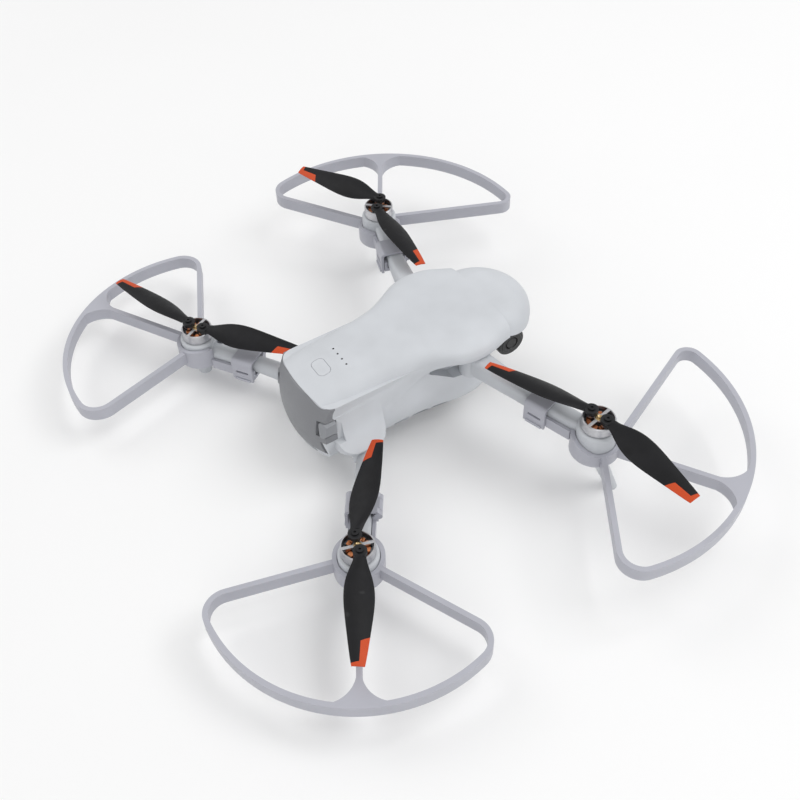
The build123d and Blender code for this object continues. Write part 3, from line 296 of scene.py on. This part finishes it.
for corner in CORNERS:
    FINISHES[f"{corner}_bell"] = bell_silver
    FINISHES[f"{corner}_blade_screws"] = screw_black
    # the patch is on the edge that meets the air last
    patch_side = 1.0 if corner in ("front_left", "rear_right") else -1.0
    for letter in "ab":
        name = f"{corner}_blade_{letter}"
        pin = Vector(joints[f"{name}_fold"]["pos_m"])
        far = [v.co for v in nodes[name].data.vertices if (v.co - pin).length > TIP_ZONE]
        heading = sum(far, Vector()) / len(far) - pin
        heading.z = 0.0
        FINISHES[name] = blade_plastic(name, pin, heading.normalized(), patch_side)

for name, material in FINISHES.items():
    mesh = nodes[name].data
    mesh.materials.clear()
    mesh.materials.append(material)


# ---------------------------------------------------------------- turned detail pieces
SHARP_ANGLE = radians(35.0)
BUSH_RISE = 0.0003


def turned(name, profile, centre, axis, material, body, segments=48):
    """Revolved piece from a profile of (radius, height), riding on a body."""
    mesh = bpy.data.meshes.new(name)
    work = bmesh.new()
    turn = Vector(axis).normalized().to_track_quat("Z", "Y").to_matrix().to_4x4()
    place = Matrix.Translation(centre) @ turn
    rings = []
    for radius, height in profile:
        if radius == 0.0:
            rings.append([work.verts.new(place @ Vector((0.0, 0.0, height)))])
            continue
        angles = [2.0 * pi * i / segments for i in range(segments)]
        spots = [Vector((radius * cos(angle), radius * sin(angle), height)) for angle in angles]
        rings.append([work.verts.new(place @ spot) for spot in spots])
    for lower, upper in zip(rings, rings[1:]):
        for i in range(segments):
            j = (i + 1) % segments
            low_edge = [lower[i % len(lower)], lower[j % len(lower)]]
            high_edge = [upper[j % len(upper)], upper[i % len(upper)]]
            # a ring of one point gives a triangle
            work.faces.new(list(dict.fromkeys(low_edge + high_edge)))
    bmesh.ops.recalc_face_normals(work, faces=work.faces)
    work.to_mesh(mesh)
    work.free()
    mesh.materials.append(material)
    mesh.polygons.foreach_set("use_smooth", [True] * len(mesh.polygons))
    mesh.set_sharp_from_angle(angle=SHARP_ANGLE)
    piece = bpy.data.objects.new(name, mesh)
    bpy.context.scene.collection.objects.link(piece)
    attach(piece, body)


brass = brushed_metal("shaft_brass", (0.62, 0.46, 0.24), 0.28, (1.0, 1.0, 1.0), 1500.0)

# a pressed bush round each motor shaft, with a dimpled shaft end
BUSH = [
    (0.0, -0.00035), (0.0004, -0.0001), (0.0009, 0.0), (0.00102, -0.0002), (0.00102, -0.0006),
    (0.00175, -0.0006), (0.0019, -0.00075), (0.0019, -0.0012), (0.0, -0.0012),
]
for corner in CORNERS:
    _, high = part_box(f"{corner}_bell")
    place = Vector(joints[f"{corner}_rotor_spin"]["pos_m"])
    place.z = high.z + BUSH_RISE
    turned(f"{corner}_shaft_bush", BUSH, place, (0, 0, 1), brass, f"{corner}_rotor")

# stepped cover on the camera's tilt motor
low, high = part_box("camera_tilt_motor")
COVER = [
    (0.0, 0.0002), (0.0030, 0.0002), (0.0032, 0.0), (0.0036, 0.0), (0.0038, 0.00035), (0.0060, 0.0003),
    (0.0064, 0.0), (0.0064, -0.0006), (0.0, -0.0006),
]
motor_face = Vector((low.x, (low.y + high.y) / 2, (low.z + high.z) / 2))
turned("tilt_motor_cover", COVER, motor_face, (-1, 0, 0), camera_black, "body")


# ---------------------------------------------------------------- floor, light and camera
FLOOR_SIZE = 8.0
WORLD_STRENGTH = 0.58
LIGHT_TARGET = (0.0, 0.0, 0.03)


def plain(name, color, roughness):
    """Matt paper, very slightly uneven in tone."""
    shader = Shader(name)
    tone = shader.mix(shader.ramp(shader.noise(3.0), 0.3, 0.7), color, tuple(c * 0.985 for c in color))
    return shader.finish(tone, roughness, Specular_IOR_Level=0.1)


bpy.ops.mesh.primitive_plane_add(size=FLOOR_SIZE, location=(0.0, 0.0, 0.0))
floor = bpy.context.object
floor.name = "floor"
floor.data.materials.append(plain("floor_paper", (0.93, 0.93, 0.93), 0.9))


def softbox(name, place, size, power):
    """Square area light aimed at the object."""
    light = bpy.data.lights.new(name, "AREA")
    light.size = size
    light.energy = power
    lamp = bpy.data.objects.new(name, light)
    lamp.location = place
    lamp.rotation_euler = (Vector(LIGHT_TARGET) - Vector(place)).to_track_quat("-Z", "Y").to_euler()
    bpy.context.scene.collection.objects.link(lamp)


softbox("key_light", (-0.5, -0.9, 1.5), 1.2, 13.0)
softbox("fill_light", (-1.3, 0.9, 0.9), 1.4, 5.5)
softbox("back_light", (1.2, 0.5, 1.3), 1.2, 6.5)

world = bpy.data.worlds.new("studio")
world.use_nodes = True
world.node_tree.nodes["Background"].inputs["Color"].default_value = (1.0, 1.0, 1.0, 1.0)
world.node_tree.nodes["Background"].inputs["Strength"].default_value = WORLD_STRENGTH
bpy.context.scene.world = world
bpy.context.scene.view_settings.view_transform = "Standard"

CAMERA_PLACE = (-0.3204, 0.1819, 0.4125)
LENS_MM = 46.83
SENSOR_MM = 36.0
SHIFT = (-0.004, 0.002)
AZIMUTH = radians(238.73)
ELEVATION = radians(47.59)
ROLL = radians(-1.86)
back = Vector((sin(AZIMUTH) * cos(ELEVATION), -cos(AZIMUTH) * cos(ELEVATION), sin(ELEVATION)))
level_right = Vector((cos(AZIMUTH), sin(AZIMUTH), 0.0))
level_up = back.cross(level_right)
right = level_right * cos(ROLL) + level_up * sin(ROLL)
up = level_up * cos(ROLL) - level_right * sin(ROLL)

camera_data = bpy.data.cameras.new("camera")
camera_data.lens = LENS_MM
camera_data.sensor_width = SENSOR_MM
camera_data.shift_x, camera_data.shift_y = SHIFT
camera = bpy.data.objects.new("camera", camera_data)
turn = Matrix((right, up, back)).transposed().to_4x4()
camera.matrix_world = Matrix.Translation(CAMERA_PLACE) @ turn
bpy.context.scene.collection.objects.link(camera)
bpy.context.scene.camera = camera
